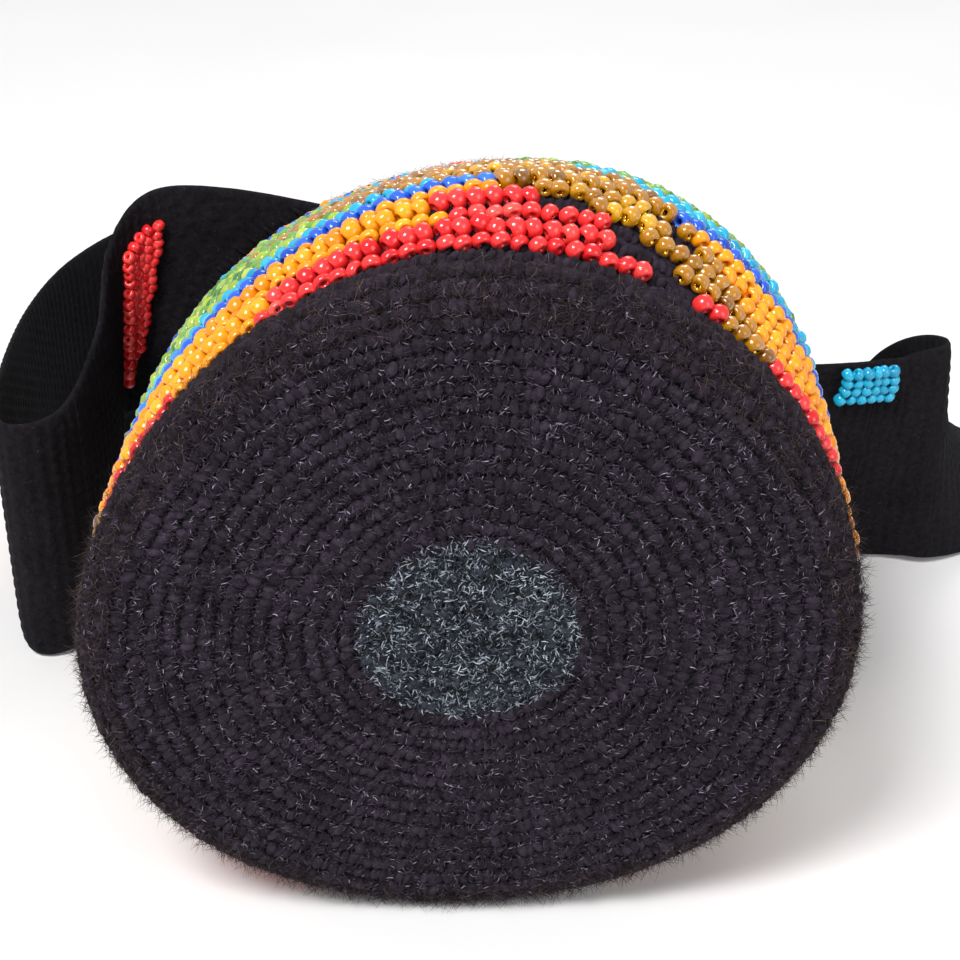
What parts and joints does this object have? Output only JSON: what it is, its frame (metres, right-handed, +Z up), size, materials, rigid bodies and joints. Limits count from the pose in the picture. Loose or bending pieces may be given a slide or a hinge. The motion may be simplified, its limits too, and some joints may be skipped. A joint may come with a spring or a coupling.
{
  "type": "beaded crochet shoulder bag",
  "caption": "Round-bottomed crocheted wool shoulder bag with a wall of coloured glass seed beads and a wide beaded strap, lying on its side",
  "frame": {"origin": "middle of the whole outline, on the surface that the bag lies on", "axes": "+Y from the crocheted base to the mouth and the strap behind it, +Z up, +X to the right when looking at the base's back along +Y"},
  "size_m": [0.362, 0.3712, 0.1869],
  "materials": {
    "wool": "dark purple-brown crocheted wool, fuzzy, with pale flecks",
    "wool_grey": "heathered blue-grey crocheted wool, fuzzy",
    "strap_wool": "black crocheted wool, dense",
    "thread": "black wool thread",
    "bead_red": "opaque red glass seed beads, glossy",
    "bead_orange": "opaque orange glass seed beads, glossy",
    "bead_blue": "opaque blue glass seed beads, glossy",
    "bead_green": "opaque green glass seed beads, glossy",
    "bead_gold": "transparent amber glass beads with a bright lining, glossy",
    "bead_turquoise": "opaque turquoise glass seed beads, glossy",
    "bead_lime": "opaque lime glass seed beads, glossy"
  },
  "bodies": {
    "bag": {"base_centre": "wool_grey", "base_rounds": "wool", "wall_lower": "wool", "wall_upper": "wool", "mouth_collar": "wool", "mouth_rim": "strap_wool", "gold_diagonal_lower_a": "bead_gold", "gold_diagonal_upper_a": "bead_gold", "red_band_lower_a": "bead_red", "red_band_upper_a": "bead_red", "orange_band_lower_a": "bead_orange", "orange_band_upper_a": "bead_orange", "blue_band_lower_a": "bead_blue", "blue_band_upper_a": "bead_blue", "green_band_lower_a": "bead_green", "green_band_upper_a": "bead_green", "field_lower_a": "bead_turquoise", "field_upper_a": "bead_lime", "gold_diagonal_lower_b": "bead_gold", "gold_diagonal_upper_b": "bead_gold", "red_band_lower_b": "bead_red", "red_band_upper_b": "bead_red", "orange_band_lower_b": "bead_orange", "orange_band_upper_b": "bead_orange", "blue_band_lower_b": "bead_blue", "blue_band_upper_b": "bead_blue", "green_band_lower_b": "bead_green", "green_band_upper_b": "bead_green", "field_lower_b": "bead_turquoise", "field_upper_b": "bead_lime", "gold_diagonal_lower_c": "bead_gold", "gold_diagonal_upper_c": "bead_gold", "red_band_lower_c": "bead_red", "red_band_upper_c": "bead_red", "orange_band_lower_c": "bead_orange", "orange_band_upper_c": "bead_orange", "blue_band_lower_c": "bead_blue", "blue_band_upper_c": "bead_blue", "green_band_lower_c": "bead_green", "green_band_upper_c": "bead_green", "field_lower_c": "bead_turquoise", "field_upper_c": "bead_lime", "strap_leg_left": "strap_wool", "strap_leg_right": "strap_wool", "bar_red_left": "bead_red", "bar_turquoise_right": "bead_turquoise", "seam_left": "thread", "seam_right": "thread"},
    "strap": {"strap_span": "strap_wool", "bar_orange_span": "bead_orange", "bar_red_span": "bead_red", "bar_lime_span": "bead_lime", "bar_blue_span": "bead_blue", "bar_gold_span": "bead_gold", "bar_turquoise_span": "bead_turquoise"}
  },
  "joints": [
    {"name": "strap_lift", "type": "hinge", "parent": "bag", "child": "strap", "pos_m": [-0.15615, -0.06565, 0.0418], "axis": [0.9808, 0.1951, 0], "range_deg": [0, 110]}
  ]
}
